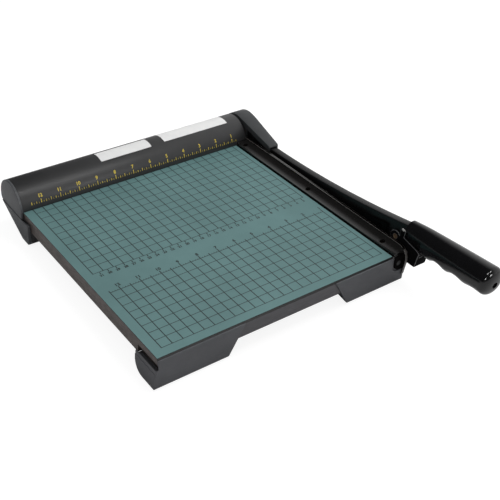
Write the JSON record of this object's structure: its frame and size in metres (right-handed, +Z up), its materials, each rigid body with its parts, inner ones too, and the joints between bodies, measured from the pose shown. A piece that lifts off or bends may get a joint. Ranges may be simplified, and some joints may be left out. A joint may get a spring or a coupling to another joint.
{
  "type": "paper trimmer",
  "caption": "Lever paper trimmer: gridded board, steel cutting edge with cove guard, swinging blade arm with grip and latch, tube hinge housing at the rear.",
  "frame": {"origin": "middle of the footprint box, on the surface that the trimmer stands on", "axes": "+Z up, +Y from the grip end to the rear hinge housing, +X from the board towards the blade arm"},
  "size_m": [0.3601, 0.4765, 0.0811],
  "materials": {
    "dark_wood": "stained and sealed",
    "printed_sheet": "printed laminate with a fine tooth",
    "black_steel": "gloss black powder coat",
    "screw_steel": "zinc plated",
    "black_screw": "black oxide",
    "blade_steel": "oiled dark tool steel, ground at the edge",
    "foot_plastic": "moulded, fine texture",
    "tube_finish": "satin black",
    "hub_plastic": "moulded, matte",
    "bracket_steel": "black",
    "bushing_bronze": "sintered bronze",
    "spring_steel": "oil tempered wire",
    "pad_rubber": "soft",
    "ground_steel": "ground",
    "grip_plastic": "gloss black",
    "bronzed_bolt": "yellowish plating, worn",
    "latch_steel": "semi gloss black, worn at the edges"
  },
  "bodies": {
    "base": {"board_core": "dark_wood", "grid_sheet": "printed_sheet", "ledger_rail": "black_steel", "rail_screws": "screw_steel", "bed_blade": "blade_steel", "bed_blade_screws": "screw_steel", "finger_guard": "black_steel", "guard_screws": "black_screw", "front_left_foot": "foot_plastic", "front_right_foot": "foot_plastic", "foot_screws": "screw_steel", "rear_housing": "tube_finish", "housing_end_cap": "foot_plastic", "housing_screws": "screw_steel", "hinge_bracket": "bracket_steel", "spring_anchor": "bracket_steel", "bracket_screws": "screw_steel", "hinge_bushes": "bushing_bronze", "torsion_spring": "spring_steel", "rubber_pads": "pad_rubber", "strike_pin": "ground_steel"},
    "lever": {"arm": "black_steel", "moving_blade": "blade_steel", "blade_screws": "screw_steel", "hub_cover": "hub_plastic", "cover_screw": "screw_steel", "pivot_shaft": "ground_steel", "drive_pin": "ground_steel", "hinge_washer": "ground_steel", "hinge_nut": "ground_steel", "spring_collar": "bracket_steel", "collar_set_screw": "screw_steel", "handle_grip": "grip_plastic", "handle_screw": "screw_steel", "latch_pivot": "bronzed_bolt", "latch_spring": "spring_steel"},
    "latch": {"latch_lever": "latch_steel"}
  },
  "joints": [
    {"name": "arm_hinge", "type": "hinge", "parent": "base", "child": "lever", "pos_m": [0.1637, 0.20885, 0.0369], "axis": [-1, 0, 0], "range_deg": [0, 65]},
    {"name": "latch_pivot", "type": "hinge", "parent": "lever", "child": "latch", "pos_m": [0.1637, -0.10265, 0.0486], "axis": [-1, 0, 0], "range_deg": [0, 8], "stiffness_Nm_per_rad": 0.6, "springref_deg": -11.46}
  ]
}
